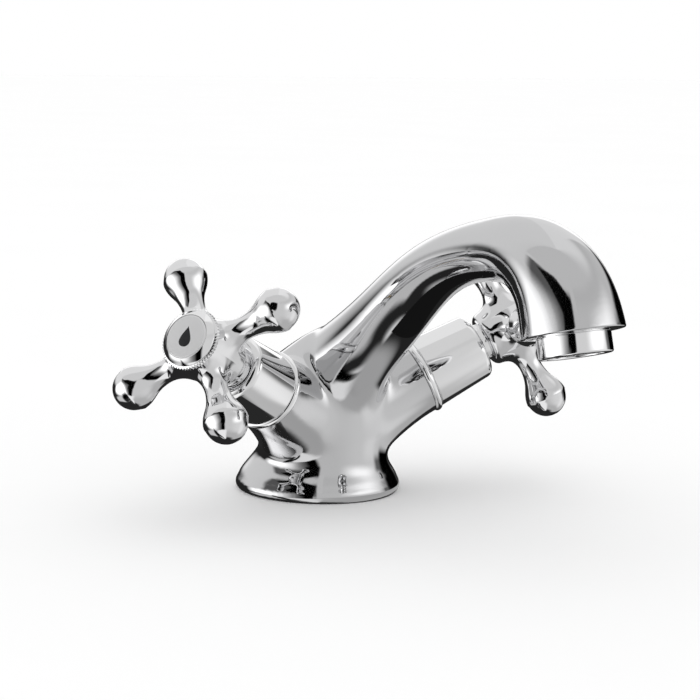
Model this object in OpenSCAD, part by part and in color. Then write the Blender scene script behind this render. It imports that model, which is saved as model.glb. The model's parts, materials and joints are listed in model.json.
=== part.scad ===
// Two-handle basin mixer: one cast body with a swan-neck spout, and two
// quarter-turn ceramic-disc valves with cross handles.
// Millimetres. +Z is up, the spout reaches towards -Y, hot is on -X and cold
// on +X. The origin is the centre of the base's underside.

/* [Base] */
// Outer radius of the foot
foot_r = 30.4; // [29:0.1:31]
// Rounding of the foot's edge
foot_edge_r = 2.6; // [2:0.1:3]
// Radius at the bottom of the foot's flare
foot_flare_r = 29.4; // [29:0.1:29.6]
// Height of the foot's flare
foot_flare_h = 16; // [14:0.5:17]
// Radius of the flare at its top
foot_waist_r = 21.8; // [21:0.1:22.5]
// Outer radius of the base gasket
base_gasket_r = 25; // [24:0.1:25.5]
// Width of the base gasket
base_gasket_w = 3.4; // [2:0.1:4]
// Thickness of the base gasket, flush with the foot
base_gasket_h = 2.4; // [1.5:0.1:3]

/* [Connections] */
// Distance of each hose inlet from the middle plane
inlet_x = 9.9; // [9.5:0.1:10.5]
// Inlets' position from front to back
inlet_y = -5.3; // [-6:0.1:-4.5]
// Core radius of the M10x1 inlet thread
inlet_thread_r = 4.5; // [4.4:0.05:4.6]
// Depth of the inlet thread
inlet_thread_depth = 13; // [10:0.5:14]
// Radius of the water passages to the valves
inlet_passage_r = 3.6; // [3:0.1:4]
// Fixing stud's distance behind the pillar's axis
stud_y = 11; // [10:0.1:12]
// Core radius of the M8 fixing stud thread
stud_thread_r = 3.4; // [3.3:0.05:3.5]
// Depth of the fixing stud thread
stud_thread_depth = 14; // [10:0.5:16]

/* [Spout] */
// Radius of the spout's end
outlet_rim_r = 16.9; // [16:0.1:18]
// Forward distance of the centre of the spout's end
outlet_y = -138; // [-142:0.5:-135]
// Height of the centre of the spout's end
outlet_z = 74.8; // [73:0.1:77]
// Forward lean of the outlet, in degrees from straight down
outlet_lean = 15; // [12:0.5:17]
// Wall thickness of the spout
spout_wall = 3; // [2.5:0.1:3.5]

/* [Aerator] */
// Outer radius of the aerator's visible shell
aerator_r = 12; // [11.8:0.05:12.2]
// Height of the aerator's visible shell
aerator_h = 7.2; // [6:0.1:8]
// Radius of the aerator's threaded neck
aerator_neck_r = 11.4; // [11.2:0.05:11.5]
// Height of the aerator's threaded neck
aerator_neck_h = 7; // [5:0.5:8]

/* [Valves] */
// Height at which the valve axes meet the middle plane
valve_z = 22.4; // [22:0.1:23]
// Position of that meeting point from front to back
valve_y = -1.3; // [-2:0.1:-1]
// Upward tilt of each valve axis, in degrees
valve_tilt = 27.2; // [26:0.2:28]
// Forward turn of each valve axis, in degrees
valve_turn = 22; // [21:0.2:23]
// Distance along the valve axis to the body's end face
boss_end = 41; // [40.5:0.1:41.5]
// Radius of the body's boss at its end face
boss_end_r = 14; // [13.8:0.1:14.4]
// Radius that the boss's hollow curve would reach at its root
boss_root_r = 21; // [20:0.1:22]
// Radius of the boss inside the pillar
boss_core_r = 18.5; // [18:0.1:18.6]
// Radius of the valve chamber, the core of its G1/2 thread
chamber_r = 10.3; // [10.2:0.05:10.5]

/* [Bonnets] */
// Outer radius of the ring between the body and the bonnet
ring_r = 14.7; // [14.3:0.1:15]
// Width of that ring
ring_w = 3; // [2.5:0.1:3.5]
// Outer radius of the bonnet at its wide end
bonnet_r1 = 13.7; // [13.5:0.1:14]
// Outer radius of the bonnet at its narrow end
bonnet_r2 = 12.2; // [12:0.1:12.6]
// Distance along the valve axis to the bonnet's end face
bonnet_end = 67; // [66.5:0.1:67.5]
// Wall thickness of the bonnet
bonnet_wall = 1.3; // [1.1:0.1:1.5]
// Rounding of the bonnet's outer edge
bonnet_round = 3; // [2:0.1:3.5]

/* [Handles] */
// Distance along the valve axis to the middle of the arms
arm_plane = 82.4; // [82:0.1:83]
// Distance from the valve axis to the centre of each ball end
ball_reach = 29.5; // [28:0.1:31]
// Radius of the ball ends
ball_r = 7.4; // [7:0.1:7.6]
// Radius of an arm at its neck
neck_r = 3.9; // [3.5:0.1:4.3]
// Distance from the valve axis to the arm's neck
neck_reach = 14.5; // [14:0.1:16]
// Rest turn of the hot handle about its axis, in degrees
hot_rest = 34.8; // [0:0.1:90]
// Rest turn of the cold handle about its axis, in degrees
cold_rest = 80; // [0:0.1:90]
// How much further the cold handle is pressed on than the hot one
cold_press = 1.2; // [0:0.1:1.6]
// Radius of the hub at its rear
hub_rear_r = 9; // [8.8:0.1:9.5]
// Radius of the hub at its front
hub_front_r = 10.6; // [10.4:0.1:10.8]
// Radius of the index bezel
bezel_r = 10.9; // [10.7:0.1:11]
// Number of beads around the index bezel
bezel_beads = 60; // [48:1:72]
// Radius of each bead
bead_r = 0.42; // [0.38:0.01:0.46]
// Radius of the index cap
cap_r = 7.6; // [7.4:0.1:7.8]

/* [Spindles] */
// Radius of the spindle
spindle_r = 4; // [3.8:0.05:4.1]
// Running clearance of the spindle in its bore
spindle_gap = 0.05; // [0.03:0.01:0.08]
// Radius of the ceramic discs
disc_r = 7.2; // [7:0.1:7.3]
// Thickness of each ceramic disc
disc_h = 3.5; // [3:0.1:3.6]

/* [Hidden] */
$fn = 64;

HOT = -1;
COLD = 1;
CHROME = "#c9ccd0";
BRASS = "#c8a75a";
RUBBER = "#1c1c1e";
CERAMIC = "#f1efe9";
STEEL = "#9aa0a6";

// Stations along the body's middle line, from inside the foot to the outlet:
// [forward y, height z, half-width, half-thickness]. The tube through them is
// the pillar, the neck and the spout.
stations = [
    [-3,    4,   24,   24],
    [-3.5,  13,  22.7, 22.9],
    [-4,    25,  22.3, 22.8],
    [-9.3,  39.3, 18.7, 19.8],
    [-21.3, 52.5, 14.6, 15.4],
    [-41,   68.4, 13.2, 12.5],
    [-65.5, 87,  11.9, 10.4],
    [-98,   97.8, 12,  10.6],
    [-119.5, 97, 14,   13.2],
    [-132,  88,  15.7, 15.3],
    [outlet_y, outlet_z, outlet_rim_r, outlet_rim_r]
];
// Below this height the sections of the pillar are level
level_below = 14;
ring_sides = 32;
steps_per_station = 3;

// The part of the middle line that the waterway follows
waterway_start = 4;

// Catmull-Rom interpolation between stations i and i + 1
function at_station(p, i) = p[max(0, min(len(p) - 1, i))];
function spline(p, i, t) =
    let (a = at_station(p, i - 1), b = at_station(p, i),
         c = at_station(p, i + 1), d = at_station(p, i + 2))
    0.5 * (2 * b + (c - a) * t + (2 * a - 5 * b + 4 * c - d) * t * t
           + (3 * b - a - 3 * c + d) * t * t * t);
function refine(p) = concat(
    [for (i = [0:len(p) - 2], k = [0:steps_per_station - 1]) spline(p, i, k / steps_per_station)],
    [p[len(p) - 1]]);
// Angle of the tube's section plane, from the middle line's direction
function lean(p, i) =
    let (a = p[max(0, i - 1)], b = p[min(len(p) - 1, i + 1)])
    i == len(p) - 1 ? -180 + outlet_lean
        : atan2(b[0] - a[0], b[1] - a[1]) * min(1, max(0, (p[i][1] - level_below) / 10));
// One ring of points around station s, with its section leaning by angle q
function ring(s, q, inset) = [for (k = [0:ring_sides - 1])
    let (w = 360 * k / ring_sides, x = (s[2] - inset) * cos(w), n = (s[3] - inset) * sin(w))
    [x, s[0] + n * cos(q), s[1] - n * sin(q)]];

module tube(p, inset = 0) {
    rings = [for (i = [0:len(p) - 1]) ring(p[i], lean(p, i), inset)];
    n = ring_sides;
    m = len(p);
    points = [for (r = rings, v = r) v];
    sides = [for (i = [0:m - 2], k = [0:n - 1])
        let (a = i * n + k, b = i * n + (k + 1) % n)
        each [[a, a + n, b + n], [a, b + n, b]]];
    ends = [[for (k = [0:n - 1]) k], [for (k = [n - 1:-1:0]) (m - 1) * n + k]];
    polyhedron(points = points, faces = concat(sides, ends), convexity = 6);
}

body_line = refine(stations);
waterway_line = concat(
    [for (i = [waterway_start * steps_per_station:len(body_line) - 1]) body_line[i]],
    [[outlet_y - 2 * sin(outlet_lean), outlet_z - 2 * cos(outlet_lean), outlet_rim_r, outlet_rim_r]]);

// Local frame of a valve: its Z runs out along the valve's axis
module on_valve(side) {
    translate([0, valve_y, valve_z])
        rotate([0, 0, side > 0 ? -valve_turn : 180 + valve_turn])
            rotate([0, 90 - valve_tilt, 0])
                children();
}
// The same frame, turned with its handle and pressed on as far as it
module on_handle(side) {
    on_valve(side) translate([0, 0, side > 0 ? -cold_press : 0])
        rotate([0, 0, side > 0 ? cold_rest : hot_rest]) children();
}
// Local frame of the outlet: its Z runs up into the spout from the end plane
module on_outlet() {
    translate([0, outlet_y, outlet_z]) rotate([-outlet_lean, 0, 0]) children();
}
// Solid of revolution from [radius, height] points
module turned(points) { rotate_extrude() polygon(points); }
module tube_ring(r_out, r_in, z1, z2) {
    translate([0, 0, z1]) difference() {
        cylinder(r = r_out, h = z2 - z1);
        translate([0, 0, -1]) cylinder(r = r_in, h = z2 - z1 + 2);
    }
}
module oring(r, wire_r, z) {
    translate([0, 0, z]) rotate_extrude() translate([r, 0]) circle(r = wire_r, $fn = 24);
}

// --- body ---------------------------------------------------------------
seat = 22;              // valve seat, measured along the valve axis
seat_port_r = 4.6;
port_start = 12;
oring_step_r = 12.1;
oring_step = 1.5;
// Space in the pillar where hot and cold water meet, and the passages to it
mix_y = -17;
mix_z = 51.5;
mix_r = 8;
mixed_passage_r = 3.6;
mixed_passage_x = 22;
mixed_passage_y = -11.5;
mixed_passage_z = 39;
inlet_passage_h = 16;

// Round-edged foot, with a nearly straight flare up to the pillar
foot_flare_z = 5.6;
module foot() {
    turned(concat(
        [[0, 0]],
        [for (q = [-90:30:60]) [foot_r - foot_edge_r + foot_edge_r * cos(q),
            foot_edge_r + foot_edge_r * sin(q)]],
        [for (t = [0:0.2:1]) [foot_flare_r - (foot_flare_r - foot_waist_r) * t * (1.2 - 0.2 * t),
            foot_flare_z + (foot_flare_h - foot_flare_z) * t]],
        [[0, foot_flare_h]]));
}
// Boss around a valve: it narrows in a hollow curve towards its end face
boss_start = 2;
boss_root = 10;
function boss_radius(z) = min(boss_core_r, boss_end_r
    + (boss_root_r - boss_end_r) * pow((boss_end - z) / (boss_end - boss_root), 1.7));
module boss(side) {
    on_valve(side) turned(concat(
        [[0, boss_start]],
        [for (t = [0:0.1:1]) let (z = boss_start + (boss_end - boss_start) * t) [boss_radius(z), z]],
        [[0, boss_end]]));
}
module chamber(side) {
    on_valve(side) {
        translate([0, 0, seat]) cylinder(r = chamber_r, h = boss_end - seat + 5);
        translate([0, 0, boss_end - oring_step]) cylinder(r = oring_step_r, h = 5);
        translate([0, 0, port_start]) cylinder(r = seat_port_r, h = seat - port_start + 1);
    }
    translate([side * inlet_x, inlet_y, -1]) cylinder(r = inlet_thread_r, h = inlet_thread_depth + 1);
    translate([side * inlet_x, inlet_y, inlet_thread_depth - 1])
        cylinder(r = inlet_passage_r, h = inlet_passage_h);
}
// Passage from a valve chamber's side up to the mixing space
module mixed_passage(side) {
    start = [0, mix_y, mix_z];
    end = [side * mixed_passage_x, mixed_passage_y, mixed_passage_z];
    v = end - start;
    translate(start) rotate([0, acos(v[2] / norm(v)), atan2(v[1], v[0])])
        cylinder(r = mixed_passage_r, h = norm(v));
}
module body() {
    color(CHROME) difference() {
        union() {
            foot();
            tube(body_line);
            for (side = [HOT, COLD]) boss(side);
        }
        tube(waterway_line, spout_wall);
        translate([0, mix_y, mix_z]) sphere(r = mix_r);
        for (side = [HOT, COLD]) {
            chamber(side);
            mixed_passage(side);
        }
        translate([0, stud_y, -1]) cylinder(r = stud_thread_r, h = stud_thread_depth + 1);
        translate([0, 0, -1]) difference() {
            cylinder(r = base_gasket_r, h = base_gasket_h + 1);
            cylinder(r = base_gasket_r - base_gasket_w, h = base_gasket_h + 1);
        }
    }
    color(CHROME) outlet_collar();
}
// Threaded seat for the aerator, cast in the spout's end
outlet_bore_r = 8.5;
module outlet_collar() {
    on_outlet() difference() {
        cylinder(r = outlet_rim_r - spout_wall + 0.6, h = aerator_neck_h + 3);
        translate([0, 0, -1]) cylinder(r = aerator_neck_r + 0.1, h = aerator_neck_h + 2.5);
        cylinder(r = outlet_bore_r, h = aerator_neck_h + 4);
    }
}
module base_gasket() {
    color(RUBBER) tube_ring(base_gasket_r, base_gasket_r - base_gasket_w, 0, base_gasket_h);
}

// --- aerator ------------------------------------------------------------
insert_r = 9.8;
insert_bore_r = 8.6;
shell_bore_r = 9.9;
shell_lip_r = 9.2;
spray_hole_r = 0.7;
spray_rings = 3;
spray_pitch = 2.5;
washer_bore_r = 8;
washer_h = 1.46;

module aerator_shell() {
    color(CHROME) on_outlet() rotate_extrude() polygon([
        [aerator_r - 0.5, -aerator_h], [aerator_r, -aerator_h + 0.5], [aerator_r, -0.02],
        [aerator_neck_r, -0.02], [aerator_neck_r, aerator_neck_h], [shell_bore_r, aerator_neck_h],
        [shell_bore_r, -aerator_h + 1.6], [shell_lip_r, -aerator_h + 0.9], [shell_lip_r, -aerator_h]]);
}
module aerator_insert() {
    color("#e8e8e6") on_outlet() difference() {
        translate([0, 0, -aerator_h + 1.7]) cylinder(r = insert_r, h = aerator_h + 3.3);
        translate([0, 0, -aerator_h + 4]) cylinder(r = insert_bore_r, h = aerator_h + 3);
        for (n = [1:spray_rings], k = [0:6 * n - 1])
            rotate([0, 0, 60 * k / n]) translate([spray_pitch * n, 0, -aerator_h])
                cylinder(r = spray_hole_r, h = 6, $fn = 16);
    }
}
module aerator_washer() {
    color(RUBBER) on_outlet()
        tube_ring(aerator_neck_r - 0.1, washer_bore_r,
            aerator_neck_h + 0.02, aerator_neck_h + 0.02 + washer_h);
}

// --- parts of each valve that stay still ---------------------------------
ring_bore_r = 11.4;
headwork_end = 70.8;
cartridge_r = 9;
cartridge_h = 12;
headwork_thread_start = 33.5;
headwork_shank_r = 8;
hex_h = 5;
hex_r = 10.9;
window_z = 29.2;
window_w = 10;
window_h = 4;
headwork_oring_r = 11.15;
headwork_oring_wire_r = 0.72;
seal_h = 2.98;
port_inner_r = 2.2;
port_w = 3;
port_angle = 76;
neck_start = 61;
neck_outer_r = 6;
nut_start = bonnet_end + 0.02;
nut_end = 70.2;
nut_r = 7.2;

module collar_ring(side) {
    r_mid = ring_r - ring_w / 2;
    color(CHROME) on_valve(side) rotate_extrude() difference() {
        union() {
            translate([ring_bore_r, boss_end + 0.02]) square([r_mid - ring_bore_r, ring_w]);
            translate([r_mid, boss_end + 0.02 + ring_w / 2]) circle(r = ring_w / 2, $fn = 32);
        }
        translate([0, boss_end - 5]) square([ring_bore_r, 12]);
    }
}
module bonnet(side) {
    z1 = boss_end + ring_w + 0.04;
    z2 = bonnet_end;
    c = bonnet_r2 - bonnet_round;
    color(CHROME) on_valve(side) rotate_extrude() polygon(concat(
        [[bonnet_r1 - bonnet_wall, z1], [bonnet_r1, z1]],
        [for (q = [0:15:90]) [c + bonnet_round * cos(q), z2 - bonnet_round + bonnet_round * sin(q)]],
        [[neck_outer_r + 0.2, z2], [neck_outer_r + 0.2, z2 - bonnet_wall],
         [c, z2 - bonnet_wall], [bonnet_r2 - bonnet_wall, z2 - bonnet_round]]));
}
module headwork(side) {
    color(BRASS) on_valve(side) difference() {
        union() {
            translate([0, 0, seat + 0.8]) cylinder(r = cartridge_r, h = cartridge_h);
            translate([0, 0, headwork_thread_start])
                cylinder(r = chamber_r - 0.1, h = boss_end - headwork_thread_start + 0.1);
            translate([0, 0, boss_end + 0.02]) cylinder(r = hex_r, h = hex_h, $fn = 6);
            translate([0, 0, boss_end + hex_h - 0.5])
                cylinder(r = headwork_shank_r, h = neck_start - boss_end - hex_h + 0.5);
            translate([0, 0, neck_start - 1])
                cylinder(r = neck_outer_r, h = headwork_end - neck_start + 1);
        }
        translate([0, 0, seat]) cylinder(r = disc_r + 0.08, h = 14);
        translate([0, 0, seat]) cylinder(r = spindle_r + spindle_gap, h = 60);
        // two side windows that let the water out above the discs
        for (q = [0, 180]) rotate([0, 0, q])
            translate([0, -window_w / 2, window_z]) cube([chamber_r + 1.7, window_w, window_h]);
    }
}
module headwork_oring(side) {
    color(RUBBER) on_valve(side)
        oring(headwork_oring_r, headwork_oring_wire_r, boss_end - oring_step / 2);
}
module seat_seal(side) {
    color(RUBBER) on_valve(side) tube_ring(disc_r, seat_port_r, seat + 0.02, seat + 0.02 + seal_h);
}
// Ceramic disc with two kidney-shaped ports
module disc(z) {
    difference() {
        translate([0, 0, z]) cylinder(r = disc_r, h = disc_h);
        for (q = [0, 180]) rotate([0, 0, q]) translate([0, 0, z - 1])
            rotate([0, 0, -port_angle / 2]) rotate_extrude(angle = port_angle)
                translate([port_inner_r, 0]) square([port_w, disc_h + 2]);
    }
}
disc_z1 = seat + 3.05;
disc_z2 = disc_z1 + disc_h + 0.05;
driver_z = disc_z2 + disc_h + 0.02;
module fixed_disc(side) {
    color(CERAMIC) on_valve(side) disc(disc_z1);
}
module lock_nut(side) {
    color(CHROME) on_valve(side) difference() {
        turned([[0, nut_start], [nut_r, nut_start], [nut_r, nut_end - 0.5],
            [nut_r - 0.5, nut_end], [0, nut_end]]);
        translate([0, 0, nut_start - 1]) cylinder(r = neck_outer_r + 0.05, h = 8);
    }
}

// --- parts that turn with each handle ------------------------------------
spindle_end = 83;
socket_end = 85;
groove_z = [50, 56];
groove_depth = 0.9;
circlip_z = headwork_end + 0.25;
hub_rear = 70.7;
hub_front = 91;
hub_skirt_r = 7.8;
hub_recess = 88;
hub_recess_r = 8.2;
driver_h = 2.4;
screw_r = 1.6;
screw_hole_r = 2.1;
screw_head_r = 3.5;
screw_head_h = 2.2;
circlip_r = 5.6;

// Closed quarter turn: the moving disc's ports stand across the fixed ones
module moving_disc(side) {
    color(CERAMIC) on_valve(side) rotate([0, 0, 90]) disc(disc_z2);
}
module spindle(side) {
    color(BRASS) on_valve(side) difference() {
        turned(concat(
            [[0, driver_z], [disc_r - 0.4, driver_z], [disc_r - 0.4, driver_z + driver_h],
             [spindle_r, driver_z + driver_h]],
            [for (g = groove_z) each [[spindle_r, g - 1], [spindle_r - groove_depth, g - 1],
                [spindle_r - groove_depth, g + 1], [spindle_r, g + 1]]],
            [[spindle_r, circlip_z], [spindle_r - 0.6, circlip_z], [spindle_r - 0.6, circlip_z + 0.9],
             [spindle_r, circlip_z + 0.9], [spindle_r, spindle_end], [0, spindle_end]]));
        translate([0, 0, spindle_end - 9]) cylinder(r = screw_r + 0.05, h = 10);
    }
}
module spindle_orings(side) {
    wire = (groove_depth + spindle_gap) / 2 - 0.03;
    color(RUBBER) on_valve(side)
        for (g = groove_z) oring(spindle_r - groove_depth + wire + 0.01, wire, g);
}
module circlip(side) {
    color(STEEL) on_valve(side) difference() {
        tube_ring(circlip_r, spindle_r - 0.55, circlip_z + 0.05, circlip_z + 0.8);
        translate([-1.5, 0, circlip_z - 1]) cube([3, 8, 3]);
    }
}
// One arm: a slim neck that swells into a ball end
arm_steps = 10;
function arm_radius(s) =
    let (t = max(0, (s - neck_reach) / (ball_reach - neck_reach)),
         root = max(0, (neck_reach - s) / neck_reach))
    neck_r + (ball_r - neck_r) * 0.82 * t * t * (1.9 - 0.9 * t) + 2.6 * root * root;
module arm() {
    rotate([0, 90, 0]) rotate_extrude() polygon(concat(
        [[0, 0]],
        [for (i = [0:arm_steps]) let (s = 5 + (ball_reach - 4 - 5) * i / arm_steps) [arm_radius(s), s]],
        [[0, ball_reach - 4]]));
    translate([ball_reach, 0, 0]) sphere(r = ball_r);
}
module handle(side) {
    color(CHROME) on_handle(side) difference() {
        union() {
            turned([[0, hub_rear], [hub_rear_r - 0.6, hub_rear], [hub_rear_r, hub_rear + 0.6],
                [hub_rear_r, 76], [hub_rear_r - 0.5, 79], [hub_front_r - 0.8, 87],
                [hub_front_r, hub_front - 1], [hub_front_r, hub_front], [0, hub_front]]);
            translate([0, 0, arm_plane]) for (q = [0:90:270]) rotate([0, 0, q]) arm();
        }
        translate([0, 0, hub_rear - 1]) cylinder(r = hub_skirt_r, h = 4.4);
        translate([0, 0, hub_rear]) cylinder(r = spindle_r + 0.02, h = socket_end - hub_rear);
        translate([0, 0, socket_end - 1]) cylinder(r = screw_hole_r, h = 8);
        translate([0, 0, hub_recess]) cylinder(r = hub_recess_r, h = 8);
    }
}
module handle_screw(side) {
    color(STEEL) on_handle(side) difference() {
        union() {
            translate([0, 0, spindle_end - 7])
                cylinder(r = screw_r, h = hub_recess + 0.5 - spindle_end + 7);
            translate([0, 0, hub_recess + 0.02]) cylinder(r = screw_head_r, h = screw_head_h);
        }
        translate([0, 0, hub_recess + 1]) cylinder(r = 1.5, h = 4, $fn = 6);
    }
}
bezel_z1 = hub_front + 0.02;
bezel_z2 = 94.6;
bezel_skirt_r = 7.95;
bezel_skirt = 88.6;
cap_seat = 93;
module index_bezel(side) {
    color(CHROME) on_handle(side) {
        rotate_extrude() polygon([
            [bezel_skirt_r, bezel_skirt], [cap_r - 0.8, bezel_skirt], [cap_r - 0.8, cap_seat],
            [cap_r + 0.05, cap_seat], [cap_r + 0.05, cap_seat + 1], [8.4, bezel_z2], [9.6, bezel_z2],
            [10.2, bezel_z2 - 0.8], [10.2, bezel_z1 + 1.5], [bezel_r - 0.9 * bead_r, bezel_z1 + 1.3],
            [bezel_r - 0.9 * bead_r, bezel_z1], [bezel_skirt_r, bezel_z1]]);
        for (k = [0:bezel_beads - 1]) rotate([0, 0, 360 * k / bezel_beads])
            translate([bezel_r - bead_r, 0, bezel_z1]) cylinder(r = bead_r, h = 1.3, $fn = 16);
    }
}
module index_cap(side) {
    color(CHROME) on_handle(side)
        turned([[0, cap_seat + 0.02], [cap_r, cap_seat + 0.02], [cap_r, cap_seat + 1.3],
            [cap_r - 0.5, cap_seat + 1.8], [0, cap_seat + 2]]);
}

body();
base_gasket();
aerator_shell();
aerator_insert();
aerator_washer();
collar_ring(HOT);  // hot_collar_ring
collar_ring(COLD);  // cold_collar_ring
bonnet(HOT);  // hot_bonnet
bonnet(COLD);  // cold_bonnet
headwork(HOT);  // hot_headwork
headwork(COLD);  // cold_headwork
headwork_oring(HOT);  // hot_headwork_oring
headwork_oring(COLD);  // cold_headwork_oring
seat_seal(HOT);  // hot_seat_seal
seat_seal(COLD);  // cold_seat_seal
fixed_disc(HOT);  // hot_fixed_disc
fixed_disc(COLD);  // cold_fixed_disc
lock_nut(HOT);  // hot_lock_nut
lock_nut(COLD);  // cold_lock_nut
moving_disc(HOT);  // hot_moving_disc
moving_disc(COLD);  // cold_moving_disc
spindle(HOT);  // hot_spindle
spindle(COLD);  // cold_spindle
spindle_orings(HOT);  // hot_spindle_orings
spindle_orings(COLD);  // cold_spindle_orings
circlip(HOT);  // hot_circlip
circlip(COLD);  // cold_circlip
handle(HOT);  // hot_handle
handle(COLD);  // cold_handle
handle_screw(HOT);  // hot_handle_screw
handle_screw(COLD);  // cold_handle_screw
index_bezel(HOT);  // hot_index_bezel
index_bezel(COLD);  // cold_index_bezel
index_cap(HOT);  // hot_index_cap
index_cap(COLD);  // cold_index_cap
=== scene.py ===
"""Two-handle basin mixer: its visible pieces, their materials, the studio and the camera.

Lengths are millimetres in the code and metres in the meshes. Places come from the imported
model: the valve axes from its joints, and the rest from the CAD nodes measured along them.
"""
import json
import math

import bmesh
import bpy
import numpy as np
from mathutils import Matrix, Vector


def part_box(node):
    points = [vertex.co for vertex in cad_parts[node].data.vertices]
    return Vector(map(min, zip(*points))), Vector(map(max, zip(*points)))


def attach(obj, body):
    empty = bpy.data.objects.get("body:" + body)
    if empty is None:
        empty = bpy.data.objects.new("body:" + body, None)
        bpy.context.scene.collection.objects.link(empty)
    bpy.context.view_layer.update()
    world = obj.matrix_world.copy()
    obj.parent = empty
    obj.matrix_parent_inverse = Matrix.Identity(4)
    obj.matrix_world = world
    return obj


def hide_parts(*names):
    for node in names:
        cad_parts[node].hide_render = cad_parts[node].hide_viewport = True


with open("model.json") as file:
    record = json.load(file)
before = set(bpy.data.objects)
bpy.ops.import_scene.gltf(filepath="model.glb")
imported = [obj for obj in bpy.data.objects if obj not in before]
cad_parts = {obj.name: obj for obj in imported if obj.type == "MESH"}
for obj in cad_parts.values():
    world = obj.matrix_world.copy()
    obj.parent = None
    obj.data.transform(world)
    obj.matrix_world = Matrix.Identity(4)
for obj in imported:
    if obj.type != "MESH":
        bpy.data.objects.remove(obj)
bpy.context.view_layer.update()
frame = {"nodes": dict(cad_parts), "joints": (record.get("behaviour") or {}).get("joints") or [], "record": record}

MM = 0.001
UP = np.array([0.0, 0.0, 1.0])


# --- places taken from the frame ------------------------------------------
def unit(v):
    return v / np.linalg.norm(v)


class Place:
    """A right-handed local frame: an origin in millimetres and three unit axes as rows."""

    def __init__(self, origin, x, z):
        self.origin = np.array(origin, float)
        self.axes = np.array([x, np.cross(z, x), z])

    def local(self, points):
        return (points - self.origin) @ self.axes.T

    def world(self, points):
        return np.asarray(points, float) @ self.axes + self.origin

    def turned(self, angle, shift=0.0):
        """The same frame turned about its own Z by angle in radians, then moved along Z."""
        x, y, z = self.axes
        return Place(self.origin + z * shift, x * math.cos(angle) + y * math.sin(angle), z)


def valve_place(joint):
    """A valve's frame: Z runs out along the joint's axis from the middle plane, and X points down."""
    axis = unit(np.array(joint["axis"]))
    on_axis = np.array(joint["pos_m"]) / MM
    down = unit(axis * (axis @ UP) - UP)
    return Place(on_axis - axis * on_axis[0] / axis[0], down, axis)


def node_points(node):
    mesh = frame["nodes"][node].data
    co = np.empty(len(mesh.vertices) * 3)
    mesh.vertices.foreach_get("co", co)
    return co.reshape(-1, 3) / MM


def span(node, place):
    """(lowest, highest, widest): a CAD node's reach along a place's Z, and its largest radius about it."""
    local = place.local(node_points(node))
    return local[:, 2].min(), local[:, 2].max(), np.hypot(local[:, 0], local[:, 1]).max()


SIDES = ("hot", "cold")
VALVES = {j["name"].split("_")[0]: valve_place(j) for j in frame["joints"]}
BODY = {"hot": "hot_handle_group", "cold": "cold_handle_group"}


# --- the body's driving dimensions, close to those of its CAD solid -------------------
FOOT_R = 30.36
FOOT_EDGE = 2.6  # the rounding of the foot's rim
FOOT_CUT = 0.12  # how far the rim's rounding runs on below the floor
FLARE_R, FLARE_Z, FLARE_SLOPE = 28.5, 7.1, 0.8  # the flare's radius at a height, and its run per rise
FLARE_INSET = 0.6
FLARE_EDGE = 3
FLARE_START = 3
RIM_BLEND = 1.2
OUTLET_LEAN = math.radians(15)
OUTLET_SWELL = 0.06, 0.09  # how fast the spout widens and thickens at its end
BOSS_START, BOSS_ROOT_R = 10, 21
BOSS_END, BOSS_END_R = 41, 14
BOSS_CURVE = 1.7
BOSS_FLOOR = 1
BOSS_HEEL = 24  # the rounding of a boss's root behind the pillar
FOOT_BLEND = 6
BOSS_BLEND = 5
NECK_FILLET = 22  # added behind the neck, above the bosses
NECK_FRONT, NECK_BACK = -22, -4  # the fillet grows between these places,
NECK_LOW, NECK_HIGH = 28, 42  # and between these heights
# The body's middle line: forward y, height z, half-width, half-thickness
STATIONS = np.array([
    [-3, 4, 24, 24],
    [-3.5, 13, 22.7, 22.9],
    [-4, 25, 22.3, 22.8],
    [-9.3, 39.3, 18.7, 19.8],
    [-21.3, 52.5, 14.6, 15.4],
    [-41, 68.4, 13.2, 12.5],
    [-65.5, 87, 11.9, 10.4],
    [-98, 97.8, 12, 10.6],
    [-119.5, 96.85, 14, 13.1],
    [-132, 88, 15.7, 15.3],
    [-138, 74.8, 16.9, 16.9],
])
OUTLET = Place([0, *STATIONS[-1][:2]], np.array([1.0, 0.0, 0.0]),
               np.array([0.0, math.sin(OUTLET_LEAN), math.cos(OUTLET_LEAN)]))


# --- smooth fields ---------------------------------------------------------
class Spline:
    """A twice-differentiable cubic curve through rows of values, over their chord length."""

    def __init__(self, rows, end_slope):
        gaps = np.hypot(*np.diff(rows[:, :2], axis=0).T)
        self.knots = np.concatenate([[0], np.cumsum(gaps)])
        n = len(rows)
        system, right = np.zeros((n, n)), np.zeros_like(rows)
        system[0, :2] = 2, 1
        right[0] = 3 * (rows[1] - rows[0]) / gaps[0]
        for i in range(1, n - 1):
            system[i, i - 1:i + 2] = gaps[i], 2 * (gaps[i - 1] + gaps[i]), gaps[i - 1]
            right[i] = 3 * (gaps[i] * (rows[i] - rows[i - 1]) / gaps[i - 1]
                            + gaps[i - 1] * (rows[i + 1] - rows[i]) / gaps[i])
        system[-1, -1] = 1
        right[-1] = end_slope
        slopes = np.linalg.solve(system, right)
        h = gaps[:, None]
        rise = (rows[1:] - rows[:-1]) / h
        self.terms = (rows[:-1], slopes[:-1], (3 * rise - 2 * slopes[:-1] - slopes[1:]) / h,
                      (slopes[:-1] + slopes[1:] - 2 * rise) / h ** 2)

    def __call__(self, s):
        """Value, slope and second slope at s."""
        i = np.clip(np.searchsorted(self.knots, s) - 1, 0, len(self.knots) - 2)
        u = (s - self.knots[i])[:, None]
        a, b, c, d = (term[i] for term in self.terms)
        return a + u * (b + u * (c + u * d)), b + u * (2 * c + 3 * u * d), 2 * c + 6 * u * d


LINE = Spline(STATIONS, [-math.sin(OUTLET_LEAN), -math.cos(OUTLET_LEAN), *OUTLET_SWELL])
MAP_LOW, MAP_HIGH = (-175, -20), (50, 135)  # y and z of a millimetre grid over the middle plane
MAP_STEPS = 500


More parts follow.
